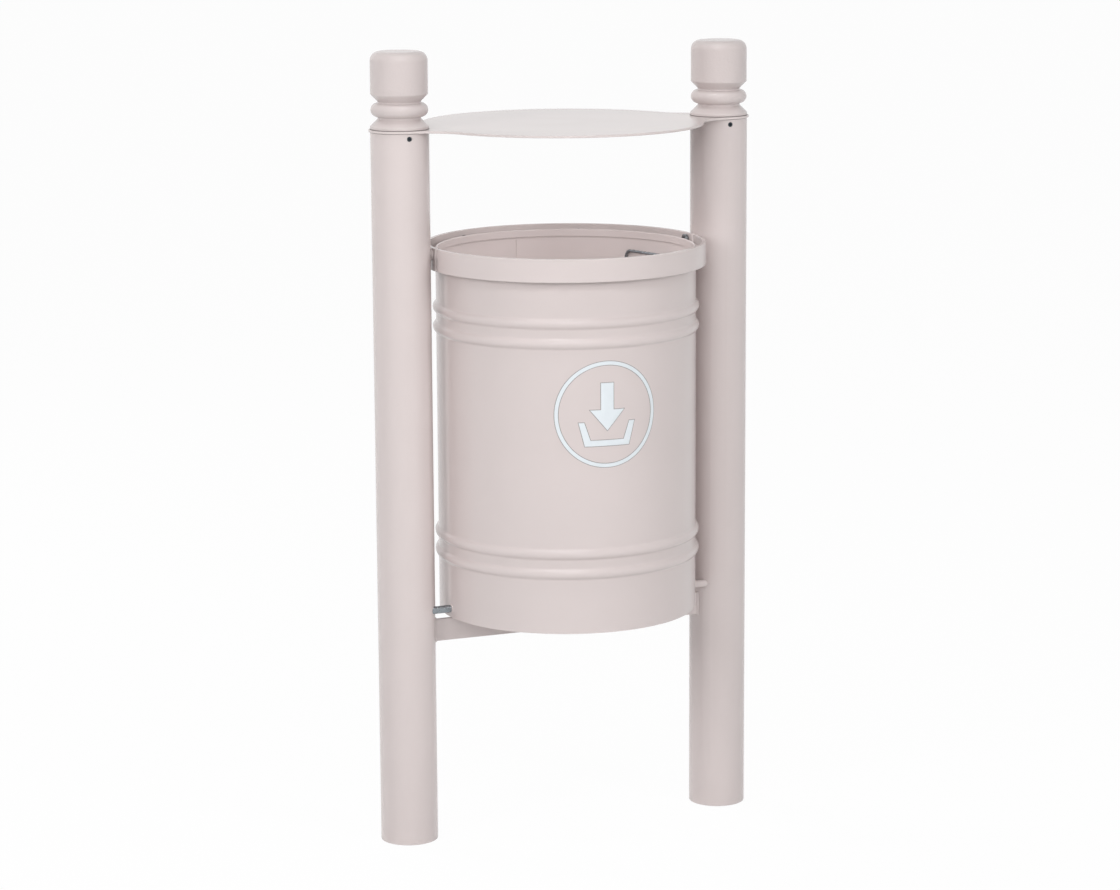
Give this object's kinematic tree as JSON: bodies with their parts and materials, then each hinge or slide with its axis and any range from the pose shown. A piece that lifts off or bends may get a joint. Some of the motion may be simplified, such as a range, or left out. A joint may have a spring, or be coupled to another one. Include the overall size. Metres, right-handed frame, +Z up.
{
  "type": "waste bin",
  "caption": "Street waste bin: a round steel drum with rolled beads, hung between two capped posts under a flat rain cover, which tips forward to be emptied.",
  "frame": {"origin": "on the ground, midway between the axes of the two posts", "axes": "+Z up, +X towards the right post, +Y to the rear, so the drum tips towards -Y"},
  "size_m": [0.5328, 0.39, 1.05],
  "materials": {
    "painted_steel": "satin powder coat, pale pinkish grey, fine orange peel",
    "painted_casting": "cast, powder coated in the same pale pinkish grey",
    "zinc_steel": "bright zinc plating",
    "zinc_casting": "die cast, dull nickel-like plating",
    "buffer_rubber": "matt black rubber"
  },
  "bodies": {
    "post_frame": {"left_post": "painted_steel", "right_post": "painted_steel", "left_post_cap": "painted_casting", "right_post_cap": "painted_casting", "cap_set_screws": "zinc_steel", "rain_cover": "painted_steel", "rear_half_hoop": "painted_steel", "hoop_bolts": "zinc_steel", "hoop_spacers": "painted_steel", "hoop_nuts": "zinc_steel", "rest_buffers": "buffer_rubber", "cross_bar": "painted_steel", "pivot_sleeves": "painted_steel", "pivot_bolts": "zinc_steel", "pivot_washers": "zinc_steel"},
    "drum": {"drum_shell": "painted_steel", "drum_floor": "painted_steel", "front_half_hoop": "painted_steel", "hoop_lugs": "painted_steel", "pivot_bushes": "painted_steel", "lock_housing": "painted_steel", "lock_body": "zinc_casting", "lock_nut": "zinc_steel", "bail_ears": "painted_steel"},
    "bail": {"bag_bail": "zinc_steel"},
    "lock_cylinder": {"lock_plug": "zinc_casting", "lock_cam": "zinc_casting", "cam_screw": "zinc_steel"}
  },
  "joints": [
    {"name": "drum_tip", "type": "hinge", "parent": "post_frame", "child": "drum", "pos_m": [0, -0.022, 0.3145], "axis": [1, 0, 0], "range_deg": [0, 72]},
    {"name": "bag_bail_swing", "type": "hinge", "parent": "drum", "child": "bail", "pos_m": [0.14639, 0.03616, 0.72626], "axis": [0.3007, -0.9537, 0], "range_deg": [0, 165]},
    {"name": "lock_turn", "type": "hinge", "parent": "drum", "child": "lock_cylinder", "pos_m": [0, 0.1772, 0.74], "axis": [0, 1, 0], "range_deg": [0, 90]}
  ]
}
